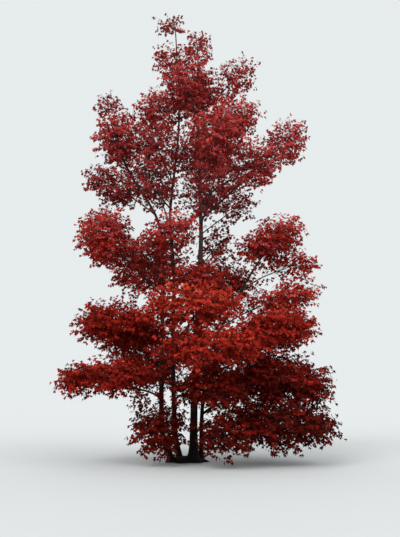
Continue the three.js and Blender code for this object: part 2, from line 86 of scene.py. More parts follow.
# The masses of leaves, in the order of the frame's own rule. at: centre; size: half width, depth and height;
# from: the stem it grows on and where it leaves it; bough: carried out by a bough of its own; tone: from dark
# wine, 0, to orange-red, 1, partly the leaves' own colour and partly painted shade, lowest in the masses near
# the ground; full: how thickly it is leaved; flat: how level its sprays lie; lean: by how many degrees its
# right end is raised
MASSES = {
    "top_tuft": {"at": (-0.6, 0, 12.68), "size": (0.3, 0.3, 0.35), "from": ("stem_middle", TIP),
                 "tone": 0.45, "full": 0.25, "flat": 0.2},
    "right_peak": {"at": (0.1, -0.1, 11.82), "size": (0.38, 0.52, 0.62), "from": ("trunk", TIP),
                   "tone": 0.5, "full": 1.25, "flat": 0.2},
    "left_peak": {"at": (-0.82, 0.08, 11.69), "size": (0.42, 0.52, 0.42), "from": ("stem_middle", 10.9),
                  "tone": 0.46, "full": 1, "flat": 0.2},
    "upper_front": {"at": (-0.19, -0.6, 10.6), "size": (0.83, 0.95, 0.7), "from": ("trunk", 9.5),
                    "tone": 0.68, "full": 1.15, "flat": 0.3},
    "upper_back": {"at": (0.02, 0.85, 10.75), "size": (1.03, 1.05, 0.85), "from": ("trunk", 9.9),
                   "tone": 0.55, "full": 0.8, "flat": 0.3},
    "upper_right": {"at": (1.24, 0, 11.05), "size": (0.66, 0.75, 0.45), "from": ("trunk", 9.7),
                    "tone": 0.62, "full": 0.88, "flat": 0.3, "lean": 22},
    "left_shoulder": {"at": (-1.1, 0, 9.95), "size": (0.8, 1.05, 0.53), "from": ("stem_middle", 9.25),
                      "tone": 0.66, "full": 1.1, "flat": 0.3, "lean": 20},
    "right_shoulder": {"at": (1.17, 0.1, 9.77), "size": (0.89, 1.1, 0.52), "from": ("trunk", 8.7),
                       "tone": 0.66, "full": 1, "flat": 0.3},
    "left_spire": {"at": (-2.55, 0, 10.18), "size": (0.3, 0.42, 0.52), "from": ("stem_left", TIP),
                   "tone": 0.34, "full": 0.5, "flat": 0.2},
    "left_mass": {"at": (-2.19, -0.15, 9.03), "size": (0.72, 1.15, 0.8), "from": ("stem_left", 7.9),
                  "tone": 0.6, "full": 1.15, "flat": 0.3},
    "centre_front": {"at": (0.62, -1.15, 8.74), "size": (1.08, 1.1, 0.8), "from": ("trunk", 7.6),
                     "tone": 0.7, "full": 0.95, "flat": 0.4},
    "centre_back": {"at": (0.33, 1.5, 9.1), "size": (1.33, 1.2, 0.95), "from": ("trunk", 8.15),
                    "tone": 0.5, "full": 0.7, "flat": 0.4},
    "mid_left": {"at": (-1.08, -0.6, 8.64), "size": (0.86, 1.05, 0.82), "from": ("stem_middle", 7.8),
                 "tone": 0.44, "full": 0.68, "flat": 0.3},
    "right_far": {"at": (2.68, 0, 8.97), "size": (0.7, 0.95, 0.6), "from": ("trunk", 6.6),
                  "tone": 0.66, "full": 1.1, "flat": 0.3, "lean": 35, "bough": True},
    "right_mid": {"at": (1.78, -0.3, 8.2), "size": (0.72, 1.15, 0.72), "from": ("trunk", 7.1),
                  "tone": 0.62, "full": 0.75, "flat": 0.3},
    "lower_mid_front": {"at": (0.58, -1.15, 7.46), "size": (1.05, 1.1, 0.58), "from": ("trunk", 6.4),
                        "tone": 0.34, "full": 0.28, "flat": 0.4},
    "lower_mid_back": {"at": (0.5, 1.5, 7.75), "size": (1.4, 1.3, 0.62), "from": ("trunk", 6.7),
                       "tone": 0.4, "full": 0.38, "flat": 0.4},
    "left_low": {"at": (-2.35, 0, 7.62), "size": (0.94, 1.2, 0.56), "from": ("stem_left", 6.75),
                 "tone": 0.26, "full": 0.68, "flat": 0.4, "lean": -25},
    "left_centre_low": {"at": (-1.13, -0.9, 7.62), "size": (0.86, 1, 0.56), "from": ("stem_middle", 6.5),
                        "tone": 0.36, "full": 0.2, "flat": 0.4},
    "left_centre_back": {"at": (-1.53, 1.35, 8.3), "size": (1.16, 1.2, 0.85), "from": ("stem_middle", 7),
                         "tone": 0.42, "full": 0.4, "flat": 0.4},
    "loose_right": {"at": (1.3, 0.25, 7.08), "size": (0.64, 0.8, 0.38), "from": ("trunk", 6.15),
                    "tone": 0.3, "full": 0.1, "flat": 0.4},
    "loose_centre": {"at": (0.64, 0.55, 5.97), "size": (0.71, 0.8, 0.52), "from": ("trunk", 5.2),
                     "tone": 0.34, "full": 0.45, "flat": 0.4},
    "left_spray": {"at": (-2.46, -0.5, 5.97), "size": (0.8, 1.3, 0.88), "from": ("stem_left", 4.4),
                   "tone": 0.64, "full": 1.4, "flat": 0.5, "bough": True},
    "left_band": {"at": (-1.22, -0.6, 5.5), "size": (0.95, 1.05, 0.34), "from": ("stem_left", 4.75),
                  "tone": 0.5, "full": 0.6, "flat": 0.5, "lean": -14},
    "centre_left_spray": {"at": (-0.57, -1.4, 5.89), "size": (0.79, 1.1, 0.44),
                          "from": ("stem_middle", 4.9), "tone": 0.52, "full": 1.2, "flat": 0.5, "lean": 22},
    "centre_spray": {"at": (0.06, -0.95, 4.8), "size": (1.03, 1.15, 0.42), "from": ("trunk", 4),
                     "tone": 0.46, "full": 0.9, "flat": 0.5},
    "right_spray": {"at": (2.17, -0.1, 5.93), "size": (1.12, 1.45, 0.6), "from": ("stem_right", TIP),
                    "tone": 0.6, "full": 1.1, "flat": 0.4, "lean": 25},
    "right_tail": {"at": (2.99, 0, 5.36), "size": (0.61, 1, 0.29), "from": ("stem_right", 4.6),
                   "tone": 0.62, "full": 0.8, "flat": 0.5, "lean": -25},
    "right_skirt_high": {"at": (2.62, -0.2, 4.36), "size": (1.06, 1.25, 0.5), "from": ("stem_right", 3.5),
                         "tone": 0.62, "full": 0.8, "flat": 0.5, "lean": 10},
    "right_skirt": {"at": (2.25, -0.6, 3.47), "size": (1.02, 1.5, 0.64), "from": ("stem_right", 2.6),
                    "tone": 0.54, "full": 1.65, "flat": 0.6, "bough": True},
    "centre_skirt": {"at": (0, -2, 3.84), "size": (1.48, 1.15, 0.68), "from": ("trunk", 2.7),
                     "tone": 0.74, "full": 1.25, "flat": 0.7, "bough": True},
    "centre_skirt_low": {"at": (0.51, -2.35, 2.89), "size": (1.76, 1.15, 0.59), "from": ("trunk", 2),
                         "tone": 0.56, "full": 1.15, "flat": 0.7, "lean": 5, "bough": True},
    "left_skirt": {"at": (-1.97, -0.6, 3.53), "size": (1.34, 1.4, 0.68), "from": ("stem_left", 2.9),
                   "tone": 0.42, "full": 1.75, "flat": 0.7, "lean": -8, "bough": True},
    "left_long_spray": {"at": (-2.18, -1.1, 2.2), "size": (1.77, 1.3, 0.54), "from": ("stem_left", 1.6),
                        "tone": 0.44, "full": 1.35, "flat": 0.8, "lean": 6, "bough": True},
    "low_centre": {"at": (0.39, -1.35, 1.89), "size": (1.16, 1.15, 0.59), "from": ("trunk", 1.25),
                   "tone": 0.12, "full": 1.05, "flat": 0.7},
    "low_front": {"at": (0.86, -1.4, 0.82), "size": (0.95, 0.95, 0.62), "from": ("trunk", 0.65),
                  "tone": 0.06, "full": 1.1, "flat": 0.7},
    "right_low": {"at": (2.42, -0.4, 2.12), "size": (1.55, 1.6, 0.8), "from": ("stem_right", 1.2),
                  "tone": 0.16, "full": 1.1, "flat": 0.7, "lean": -12, "bough": True},
    "right_lowest": {"at": (2.25, -0.7, 1.06), "size": (1.8, 1.5, 0.8), "from": ("stem_right", 0.65),
                     "tone": 0.06, "full": 1.05, "flat": 0.7, "lean": -7, "bough": True},
    "low_left": {"at": (-0.85, -0.8, 0.88), "size": (0.86, 0.9, 0.8), "from": ("stem_left", 0.6),
                 "tone": 0.06, "full": 1.15, "flat": 0.7},
    "back_low_left": {"at": (-1.36, 1.8, 2.95), "size": (1.6, 1.4, 1.25), "from": ("stem_middle", 1.9),
                      "tone": 0.45, "full": 0.75, "flat": 0.7, "bough": True},
    "back_low_right": {"at": (1.46, 1.85, 2.6), "size": (1.75, 1.45, 1.3), "from": ("stem_right", 1.7),
                       "tone": 0.4, "full": 0.75, "flat": 0.7, "bough": True},
    "back_mid_left": {"at": (-1.56, 1.75, 5.65), "size": (1.35, 1.4, 1.05), "from": ("stem_middle", 4.8),
                      "tone": 0.5, "full": 0.7, "flat": 0.6, "bough": True},
    "back_mid_right": {"at": (0.75, 1.8, 5.05), "size": (1.5, 1.4, 0.95), "from": ("trunk", 4.2),
                       "tone": 0.45, "full": 0.65, "flat": 0.6, "bough": True},
}
NAMES = list(MASSES)
CENTRES = np.array([mass["at"] for mass in MASSES.values()], float)
SIZES = np.array([mass["size"] for mass in MASSES.values()], float)
MEAN_SIZES = np.cbrt(SIZES.prod(axis=1))
LEANS = np.radians([mass.get("lean", 0) for mass in MASSES.values()])

# The three ways along which each mass has its half width, depth and height
WAYS = np.array([[(math.cos(turn), 0, math.sin(turn)), (0, 1, 0), (-math.sin(turn), 0, math.cos(turn))]
                 for turn in LEANS])

# Stems and boughs: how they taper, the rings and sides they are drawn out with, and the bark's relief, a
# stem's as a share of its radius at the foot
STEM_LIMB = {"taper": 0.85, "rings_per_metre": 12, "sides": 16, "relief": 0.09}
BOUGH_LIMB = {"taper": 0.006, "rings_per_metre": 8, "fewest_rings": 8, "sides": 8, "relief": 0.0028}
GUIDE_PLACES_PER_RING = 4
SMOOTH_BELOW = math.radians(50)

# Root flare of a stem's foot; the stool, the low mound of old wood that the stems spring from, with its
# profile as shares of its half width and its height; the swollen feet that run into it; how they are melted
# into one
FLARE = {"height": 0.26, "toes": 5, "toe_depth": 0.32}
STOOL = {"centre": (-0.19, 0.06), "half": (0.56, 0.4), "height": 0.15, "toes": 7, "toe_depth": 0.12,
         "profile": ((1.02, -0.3), (0.97, 0.1), (0.85, 0.42), (0.64, 0.74), (0.33, 0.96)), "sides": 56}
COLLAR = {"height": 0.5, "wider": 1.12, "narrower": 0.9, "rings": 7, "sides": 20, "bends": 12}
MELT = {"voxel": 0.013, "smoothing": 4, "relief": 0.012}

# How limbs bend, how thick they are and where the masses' spaces end, as in the frame's own rule
BEND = {"rise": 0.9, "leaving": 0.4, "stem_leaving": 0.35, "arriving": 0.3}
MASS_STEM = {"thin": 0.011, "per_metre": 0.013, "tip_share": 0.6, "sides": 7}
SPACE = {"margin": 0.025, "entry": 0.8, "entry_step": 0.02, "stem_end": 0.42}

# Twigs of a mass, by the same rule: how many, how far out they reach, how far behind that and between which
# shares of the mass's stem they leave it, how they bend and how thick they are
TWIG = {"least": 1.6, "per_metre": 3.2, "most": 6, "reach": 0.26, "wander": 0.06, "behind": 0.22,
        "first": 0.3, "last": 0.9, "leaving": 0.5, "arch": 0.04, "beyond": 0.18,
        "thick": 0.009, "thin": 0.006, "sides": 5}
STEM_SHARES = np.linspace(0, 1, 9)

# Branchlets, which the rule goes on with: how many grow in a cubic metre, the share of the space they fill,
# how they gather towards its outside, and how far they are scattered off an even spread
BRANCHLET = {"per_cubic_metre": 28, "fewest": 6, "reach": 0.9, "wander": 0.1, "inmost": 0.1, "gather": 0.36,
             "scatter": 0.16}

# How a branchlet grows: by how many places of its limb it starts behind its target, how it bends, how much
# it heads along the limb and outwards, and how thick it is, more so if it is long
BRANCHLET_WAY = {"behind": 2, "leaving": 0.3, "arriving": 0.3, "arch": 0.06, "with_limb": 0.15,
                 "straight": 0.7, "outward": 0.6, "root": 0.0045, "tip": 0.0025, "least_thick": 0.8,
                 "thicker": 0.5, "sides": 3}
BRANCHLET_SHARES = np.linspace(0, 1, 4)

# By how much neighbouring masses' sprays mingle, and how far past its own edge one may grow
MINGLE = {"target": (0.2, 1.05), "shoot": (0.25, 1.06), "short_shoot": (0.25, 1.08)}

# Lobes, into which a mass's sprays gather: how many it has, how they are spread, how far its outline draws in
# between them, the share of a turn they fade over, how much less one may reach than another, and how far
# their tones differ
LOBE = {"least": 8, "per_metre": 9, "turn": 0.7, "scatter": 0.25, "drawn_in": 0.74, "fade": 0.26,
        "uneven": 0.12, "tone": 0.11}

# Stray sprays along a mass's limb, before it enters the mass: how many, how far along they begin, how far off
# the limb they hang, and the least share of that
STRAY = {"per_metre": 10, "first": 0.35, "off": 0.42, "least_off": 0.4}

# The plane of a spray: how much it is levelled and droops in a flat mass, and how much it leans outwards and
# at random in another
PLANE = {"levelled": 0.6, "droop": 0.12, "outward": 0.35, "tilt": 0.9}

# Shoots of a spray: how many, how long, where they leave the branchlet, how far they spread, swerve and rise,
# and how much shorter one is that finds no room
SHOOT = {"fewest": 3, "most": 5, "short": 0.14, "long": 0.34, "first": 0.3, "spread": 1.2,
         "least_spread": 0.75, "spread_range": 0.5, "swerve": 0.25, "rise": 0.3, "falling": 0.45,
         "shortened": 0.6, "thick": 0.0026, "sides": 3}

# Pairs of leaves: where they grow along a shoot, how far ahead they head, and how the second pair is turned
# out of the spray's plane
PAIR = {"at": (0.45, 0.9), "ahead": 0.5, "further_ahead": 0.4, "across": 0.75, "turned_out": 0.4}

# Leaves: length and width of the blade, how far its sides fold up and its tip hangs down, the length and the
# way of its stalk, how the blade hangs on it and which way its upper side looks
BLADE = {"short": 0.069, "long": 0.1, "width": 1.05, "fold": 0.09, "tip_down": 0.14}
STALK = {"short": 0.03, "long": 0.055, "scatter": 0.25, "rise": 0.1}
HANG = {"least": 0.3, "most": 1.5, "loose": 1.2, "less_if_flat": 0.5, "scatter": 0.25}
UPPER_SIDE = {"up": 0.75, "outward": 0.45, "scatter": 0.45}

# How far a spray's tone follows its height and depth in the mass, as painted light above and painted shade
# behind, how far it strays, and its highest
TONE_AND_PAINTED_LIGHT = {"above": 0.1, "behind": -0.05, "stray": 0.13, "most": 0.999}

# The triangles at which a new piece of twigs or leaves is begun
MOST_TRIANGLES = 180000

# The tints that the sprays are dealt, from the darkest to the brightest: cooler ones high up, warmer ones low
# down, and both in between. The darkest ones are dealt where the sprays' tones carry painted shade
COOL_TINTS = {
    "wine": (0.14, 0.012, 0.011),
    "maroon": (0.23, 0.0195, 0.0175),
    "crimson": (0.34, 0.03, 0.027),
    "rose_red": (0.455, 0.044, 0.039),
    "coral_red": (0.57, 0.065, 0.057),
}
WARM_TINTS = {
    "dark_garnet": (0.075, 0.005, 0.003),
    "garnet": (0.16, 0.008, 0.004),
    "red": (0.29, 0.0155, 0.009),
    "scarlet": (0.41, 0.026, 0.0135),
    "ember": (0.52, 0.05, 0.02),
}
TINTS = {**COOL_TINTS, **WARM_TINTS}
WARMTH = {"none_above": 7.0, "all_below": 3.5}


class Dice:
    """The same seed always rolls the same numbers."""

    def __init__(self, seed):
        self.state = (seed * 7919 + 104729) % 2147483647
        self.roll()
        self.roll()

    def roll(self):
        self.state = (self.state * 48271) % 2147483647
        return self.state / 2147483647

    def between(self, low, high):
        return low + (high - low) * self.roll()

    def rolls(self, *shape, low=0.0):
        """An array of that shape between low and one, filled row by row."""
        return np.array([self.between(low, 1.0) for _ in range(math.prod(shape))]).reshape(shape)


# Curves and directions. MEASURED: the steps a curve is measured in, for its length and for a height on it
MEASURED = {"length": 201, "height": 1201}


def unit(vectors):
    vectors = np.asarray(vectors, float)
    return vectors / np.maximum(np.linalg.norm(vectors, axis=-1, keepdims=True), 1e-9)


def stem_curve(way):
    """A smooth curve through a stem's places."""
    way = np.array(way, float)
    padded = np.vstack([2 * way[0] - way[1], way, 2 * way[-1] - way[-2]])

    def curve(shares):
        place = np.clip(np.asarray(shares, float), 0, 1) * (len(way) - 1)
        first = np.minimum(place.astype(int), len(way) - 2)
        t = (place - first)[:, None]
        before, start, end, after = (padded[first + i] for i in range(4))
        leaving, arriving = (end - before) / 2, (after - start) / 2
        square = 3 * (end - start) - 2 * leaving - arriving
        cube = 2 * (start - end) + leaving + arriving
        return start + leaving * t + square * t**2 + cube * t**3

    return curve


def bent(start, leaving, arriving, end):
    """A curve from start to end that leaves towards one place and arrives from another."""

    def curve(shares):
        t = np.asarray(shares, float)[:, None]
        return ((1 - t) ** 3 * start + 3 * (1 - t) ** 2 * t * leaving
                + 3 * (1 - t) * t**2 * arriving + t**3 * end)

    return curve


def along(curve, shares):
    """The places at shares of a curve's length, and the length."""
    steps = np.linspace(0, 1, MEASURED["length"])
    places = curve(steps)
    travelled = np.concatenate([[0], np.cumsum(np.linalg.norm(np.diff(places, axis=0), axis=1))])
    return curve(np.interp(np.asarray(shares) * travelled[-1], travelled, steps)), travelled[-1]


def length_of(curve):
    return along(curve, [0])[1]


def at_height(curve, height):
    """The place where a rising curve reaches a height."""
    places, _ = along(curve, np.linspace(0, 1, MEASURED["height"]))
    return np.array([np.interp(height, places[:, 2], places[:, axis]) for axis in range(3)])


# Spaces of the masses
def shares_out(places):
    """How far out of each mass's centre the places are, in shares of its size."""
    offsets = np.einsum("pmi,mai->pma", places[:, None] - CENTRES[None], WAYS)
    return np.linalg.norm(offsets / SIZES[None], axis=2)


def own_offsets(number, shares):
    """Offsets from a mass's centre, from shares of its half width, depth and height."""
    return (np.atleast_2d(shares) * SIZES[number]) @ WAYS[number]


def owned(number, places, slack=0.0, edge=1.0):
    """Where a mass keeps places to itself. Slack lets its neighbours mingle with it."""
    out = shares_out(np.atleast_2d(places))
    own = out[:, number].copy()
    out[:, number] = np.inf
    return (own <= edge) & (out.min(axis=1) > own + SPACE["margin"] - slack)


# Twigs and leaves stay above the ground, and stand out of the frame's box by little
PROUD = 0.12
LOWEST = np.array(cad_box[0]) + (-PROUD, -PROUD, 0.03)
HIGHEST = np.array(cad_box[1]) + PROUD


def in_box(places):
    return ((places > LOWEST) & (places < HIGHEST)).all(axis=1)


def entry_of(number, origin):
    """Where a limb from the origin comes into a mass's own space."""
    centre = CENTRES[number]
    shares = np.arange(0, 1, SPACE["entry_step"])
    places = centre + (origin - centre) * shares[:, None]
    inside = owned(number, places) & (shares_out(places)[:, number] <= SPACE["entry"])
    inside[0] = True
    return places[np.argmin(inside) - 1] if not inside.all() else places[-1]


def lay_out(number):
    """A mass's bough and stem as curves, by the rule that the frame is grown by."""
    name = NAMES[number]
    mass = MASSES[name]
    stem_name, height = mass["from"]
    stem = STEMS[stem_name]
    curve = stem_curve(stem["way"])
    at_tip = height == TIP
    root = along(curve, [1.0])[0][0] if at_tip else at_height(curve, height)
    thick = stem["tip"] if at_tip else MASS_STEM["thin"] + MASS_STEM["per_metre"] * MEAN_SIZES[number]
    entry = entry_of(number, root)
    centre = CENTRES[number]
    inward = unit(centre - (root if at_tip else entry))
    end = centre + inward * SPACE["stem_end"] / np.linalg.norm(WAYS[number] @ inward / SIZES[number])
    out = unit((entry - root) * (1, 1, 0))
    heading = unit(curve([1.0])[0] - curve([NEAR_TIP])[0]) if at_tip else unit(out + UP * BEND["rise"])
    start = root
    laid = {"name": name, "number": number, "thick": thick, "bough": None}
    if mass.get("bough"):
        length = np.linalg.norm(entry - root)
        laid["bough"] = bent(root, root + heading * length * BEND["leaving"],
                             entry - inward * length * BEND["arriving"], entry)
        start, heading = entry, inward
    length = np.linalg.norm(end - start)
    laid["stem"] = bent(start, start + heading * length * BEND["stem_leaving"],
                        end - inward * length * BEND["arriving"], end)
    return laid


# Joined meshes from arrays
class Joined:
    """Gathers corners and triangles for one piece."""

    def __init__(self):
        self.places = []
        self.faces = []
        self.count = 0

    def add(self, places, faces):
        """Shapes that share one list of faces: places is shapes by corners by 3."""
        shapes, corners = places.shape[:2]
        starts = self.count + np.arange(shapes)[:, None, None] * corners
        self.places.append(places.reshape(-1, 3))
        self.faces.append((faces[None] + starts).reshape(-1, 3))
        self.count += shapes * corners

    def triangles(self):
        return sum(len(faces) for faces in self.faces)

    def finished(self, name, material, slot, nodes):
        places = np.concatenate(self.places).astype(np.float32)
        faces = np.concatenate(self.faces).astype(np.int32)
        mesh = bpy.data.meshes.new(name)
        mesh.vertices.add(len(places))
        mesh.vertices.foreach_set("co", places.ravel())
        mesh.loops.add(faces.size)
        mesh.loops.foreach_set("vertex_index", faces.ravel())
        mesh.polygons.add(len(faces))
        mesh.polygons.foreach_set("loop_start", np.arange(0, faces.size, 3, dtype=np.int32))
        mesh.update(calc_edges=True)
        piece = bpy.data.objects.new(name, mesh)
        bpy.context.scene.collection.objects.link(piece)
        mesh.materials.append(material)
        settle(piece, slot, nodes)


def settle(piece, slot, nodes):
    """Lets a finished piece ride on the tree and stand for its nodes. Its slot is not used."""
    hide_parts(*nodes)
    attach(piece, "root")


def tube_faces(rings, sides):
    """The triangles of a tube of rings that ends in a point, closed at its root."""
    faces = []
    for ring in range(rings - 1):
        for side in range(sides):
            near, beside = ring * sides + side, ring * sides + (side + 1) % sides
            faces += [(near, beside, beside + sides), (near, beside + sides, near + sides)]
    last, point = (rings - 1) * sides, rings * sides
    faces += [(last + side, last + (side + 1) % sides, point) for side in range(sides)]
    faces += [(0, side + 1, side) for side in range(1, sides - 1)]
    return np.array(faces)


def add_tubes(joined, ways, radii, sides):
    """Tapering twigs along ways, which is twigs by places by 3. Each ends in a point."""
    headings = unit(np.gradient(ways, axis=1))
    across = unit(np.cross(headings, LEANING))
    upward = np.cross(across, headings)
    turns = np.arange(sides) * 2 * math.pi / sides
    rings = ways.shape[1] - 1
    circle = (np.cos(turns)[:, None] * across[:, :rings, None]
              + np.sin(turns)[:, None] * upward[:, :rings, None])
    corners = ways[:, :rings, None] + circle * np.asarray(radii)[:, :rings, None, None]
    corners = corners.reshape(len(ways), rings * sides, 3)
    joined.add(np.concatenate([corners, ways[:, -1:]], axis=1), tube_faces(rings, sides))


# Materials. STAIN: what the bark is multiplied by where it is stained; MOTTLE: what a leaf's tint is
# multiplied by in its darker spots; BARK_PAINTED_SHADE_AT_GROUND: the painted shade, what the bark is
# multiplied by at the ground
STAIN = (0.62, 0.6, 0.58)
MOTTLE = 0.72
BARK_PAINTED_SHADE_AT_GROUND = 0.3


def new_material(name):
    material = bpy.data.materials.new(name)
    material.use_nodes = True
    nodes, links = material.node_tree.nodes, material.node_tree.links
    return material, nodes, links, nodes["Principled BSDF"]


def grain(nodes, links, scale, detail, stretch=1.0):
    """Noise on the object's own coordinates, drawn out along Z where stretch is below one."""
    where = nodes.new("ShaderNodeTexCoord")
    drawn = nodes.new("ShaderNodeMapping")
    drawn.inputs["Scale"].default_value = (1, 1, stretch)
    noise = nodes.new("ShaderNodeTexNoise")
    noise.inputs["Scale"].default_value = scale
    noise.inputs["Detail"].default_value = detail
    links.new(where.outputs["Object"], drawn.inputs["Vector"])
    links.new(drawn.outputs["Vector"], noise.inputs["Vector"])
    return noise.outputs["Fac"], where.outputs["Object"]


def ramp(nodes, links, factor, *stops):
    """A colour that goes from one stop to the other, each with its place on the factor."""
    colours = nodes.new("ShaderNodeValToRGB")
    for element, (place, colour) in zip(colours.color_ramp.elements, stops):
        element.position = place
        element.color = (*colour, 1)
    links.new(factor, colours.inputs["Fac"])
    return colours.outputs["Color"]


def roughened(nodes, links, shader, height, strength, distance):
    """Gives a shader fine relief on top of the mesh's own."""
    bump = nodes.new("ShaderNodeBump")
    bump.inputs["Strength"].default_value = strength
    bump.inputs["Distance"].default_value = distance
    links.new(height, bump.inputs["Height"])
    links.new(bump.outputs["Normal"], shader.inputs["Normal"])


def bark_material(name, dark, pale, shade_darkest_to, shade_gone_from):
    """Grey-brown bark, ridged along the limb, with painted shade that darkens it towards the ground: darkest
    up to the height shade_darkest_to, without painted shade from the height shade_gone_from."""
    material, nodes, links, shader = new_material(name)
    ridges, where = grain(nodes, links, scale=46, detail=6, stretch=0.14)
    patches, _ = grain(nodes, links, scale=5, detail=3, stretch=0.5)
    colour = ramp(nodes, links, ridges, (0.34, dark), (0.68, pale))
    stained = ramp(nodes, links, patches, (0.38, STAIN), (0.62, (1, 1, 1)))
    height = nodes.new("ShaderNodeSeparateXYZ")
    links.new(where, height.inputs["Vector"])
    # Painted shade: the bark is multiplied darker towards the ground, down to BARK_PAINTED_SHADE_AT_GROUND
    rising = nodes.new("ShaderNodeMapRange")
    rising.inputs["From Min"].default_value = shade_darkest_to
    rising.inputs["From Max"].default_value = shade_gone_from
    rising.inputs["To Min"].default_value = BARK_PAINTED_SHADE_AT_GROUND
    rising.inputs["To Max"].default_value = 1.0
    links.new(height.outputs["Z"], rising.inputs["Value"])
    for factor in (stained, rising.outputs["Result"]):
        mixed = nodes.new("ShaderNodeMix")
        mixed.data_type = "RGBA"
        mixed.blend_type = "MULTIPLY"
        mixed.inputs["Factor"].default_value = 1.0
        links.new(colour, mixed.inputs["A"])
        links.new(factor, mixed.inputs["B"])
        colour = mixed.outputs["Result"]
    links.new(colour, shader.inputs["Base Color"])
    shader.inputs["Roughness"].default_value = 0.88
    shader.inputs["Specular IOR Level"].default_value = 0.15
    roughened(nodes, links, shader, ridges, strength=0.6, distance=0.006)
    return material


def twig_material(name, dark, pale):
    """Thin smooth bark of twigs and branches."""
    material, nodes, links, shader = new_material(name)
    patches, _ = grain(nodes, links, scale=9, detail=3)
    colour = ramp(nodes, links, patches, (0.35, dark), (0.65, pale))
    links.new(colour, shader.inputs["Base Color"])
    shader.inputs["Roughness"].default_value = 0.85
    shader.inputs["Specular IOR Level"].default_value = 0.15
    return material


def leaf_material(name, tint):
    """Thin matt autumn leaf, a little mottled. Those of the warm lower tints hardly catch the sky."""
    material, nodes, links, shader = new_material(f"leaf_{name}")
    mottle, _ = grain(nodes, links, scale=55, detail=3)
    deeper = tuple(channel * MOTTLE for channel in tint)
    colour = ramp(nodes, links, mottle, (0.3, deeper), (0.62, tint))
    links.new(colour, shader.inputs["Base Color"])
    shader.inputs["Roughness"].default_value = 0.72
    shader.inputs["Specular IOR Level"].default_value = 0.04 if name in WARM_TINTS else 0.13
    return material


# The bark's two colours are partly its own dark grey-brown and partly painted shade
BARK = bark_material("bark", dark=(0.012, 0.01, 0.008), pale=(0.066, 0.054, 0.044),
                     shade_darkest_to=0.0, shade_gone_from=5.0)
BRANCH_BARK = twig_material("branch_bark", dark=(0.024, 0.019, 0.016), pale=(0.055, 0.045, 0.037))
TWIG_BARK = twig_material("twig_bark", dark=(0.024, 0.014, 0.012), pale=(0.05, 0.032, 0.027))
LEAF_TINTS = {name: leaf_material(name, tint) for name, tint in TINTS.items()}


# Stems and boughs: drawn out ring by ring, given the bark's relief, then bent to their way
def deselect_all():
    bpy.ops.object.select_all(action="DESELECT")


def select_only(piece):
    deselect_all()
    piece.select_set(True)
    bpy.context.view_layer.objects.active = piece


def apply_all(piece):
    select_only(piece)
    for modifier in list(piece.modifiers):
        bpy.ops.object.modifier_apply(modifier=modifier.name)


def bark_ridges():
    """The relief of the bark: cracks that run along the limb."""
    ridges = bpy.data.textures.new("bark_ridges", "CLOUDS")
    ridges.noise_basis = "VORONOI_F2_F1"
    ridges.noise_scale = 0.035
    ridges.noise_depth = 2
    deselect_all()
    bpy.ops.object.empty_add()
    stretched = bpy.context.object
    stretched.scale = (1, 1, 6)
    bpy.context.view_layer.update()
    return ridges, stretched


RIDGES, STRETCHED = bark_ridges()


def drawn_out(name, radii, heights, sides):
    """An upright solid from a circle extruded ring by ring, each resized to its own radius."""
    deselect_all()
    bpy.ops.mesh.primitive_circle_add(vertices=sides, radius=radii[0], fill_type="NGON",
                                      location=(0, 0, heights[0]))
    bpy.ops.object.transform_apply(location=True)
    solid = bpy.context.object
    solid.name = name
    bpy.ops.object.mode_set(mode="EDIT")
    bpy.ops.mesh.select_all(action="SELECT")
    for ring in range(1, len(radii)):
        bpy.ops.mesh.extrude_region_move(
            TRANSFORM_OT_translate={"value": (0, 0, heights[ring] - heights[ring - 1])})
        wider = radii[ring] / radii[ring - 1]
        bpy.ops.transform.resize(value=(wider, wider, 1))
    bpy.ops.mesh.select_all(action="SELECT")
    bpy.ops.mesh.normals_make_consistent(inside=False)
    bpy.ops.object.mode_set(mode="OBJECT")
    return solid


def corners_of(piece):
    places = np.empty(len(piece.data.vertices) * 3, np.float32)
    piece.data.vertices.foreach_get("co", places)
    return places.reshape(-1, 3)


def set_corners(piece, places):
    piece.data.vertices.foreach_set("co", places.astype(np.float32).ravel())
    piece.data.update()


def press_flat(piece):
    """Presses what dips below the ground flat onto it."""
    places = corners_of(piece)
    places[:, 2] = np.maximum(places[:, 2], 0)
    set_corners(piece, places)


def draw_toes(piece, toes, depth, fading, share):
    """Draws an upright foot out into toes. fading: the height in which they die away; share: how much of the
    foot's width they take."""
    places = corners_of(piece)
    around = np.arctan2(places[:, 1], places[:, 0])
    places[:, :2] *= (1 + share * depth * np.cos(toes * around) * np.exp(-places[:, 2] / fading))[:, None]
    set_corners(piece, places)


def guide_curve(places):
    """A guide that a limb is bent along, removed afterwards."""
    line = bpy.data.curves.new("guide", "CURVE")
    line.dimensions = "3D"
    line.twist_mode = "MINIMUM"
    spline = line.splines.new("POLY")
    spline.points.add(len(places) - 1)
    for point, place in zip(spline.points, places):
        point.co = (*place, 1)
    guide = bpy.data.objects.new("guide", line)
    bpy.context.scene.collection.objects.link(guide)
    bpy.context.view_layer.update()
    return guide


def bend_to(limb, places):
    """Bends an upright limb to its way."""
    guide = guide_curve(places)
    bending = limb.modifiers.new("bending", "CURVE")
    bending.object = guide
    bending.deform_axis = "POS_Z"
    apply_all(limb)
    bpy.data.objects.remove(guide)


def raise_bark(piece, relief):
    """The bark's relief, which a limb is given before it is bent."""
    raised = piece.modifiers.new("relief", "DISPLACE")
    raised.texture = RIDGES
    raised.texture_coords = "OBJECT"
    raised.texture_coords_object = STRETCHED
    raised.mid_level = 0.3
    raised.strength = relief


def finish_bark(piece):
    press_flat(piece)
    select_only(piece)
    bpy.ops.object.shade_smooth_by_angle(angle=SMOOTH_BELOW)
    piece.data.materials.clear()
    piece.data.materials.append(BARK)


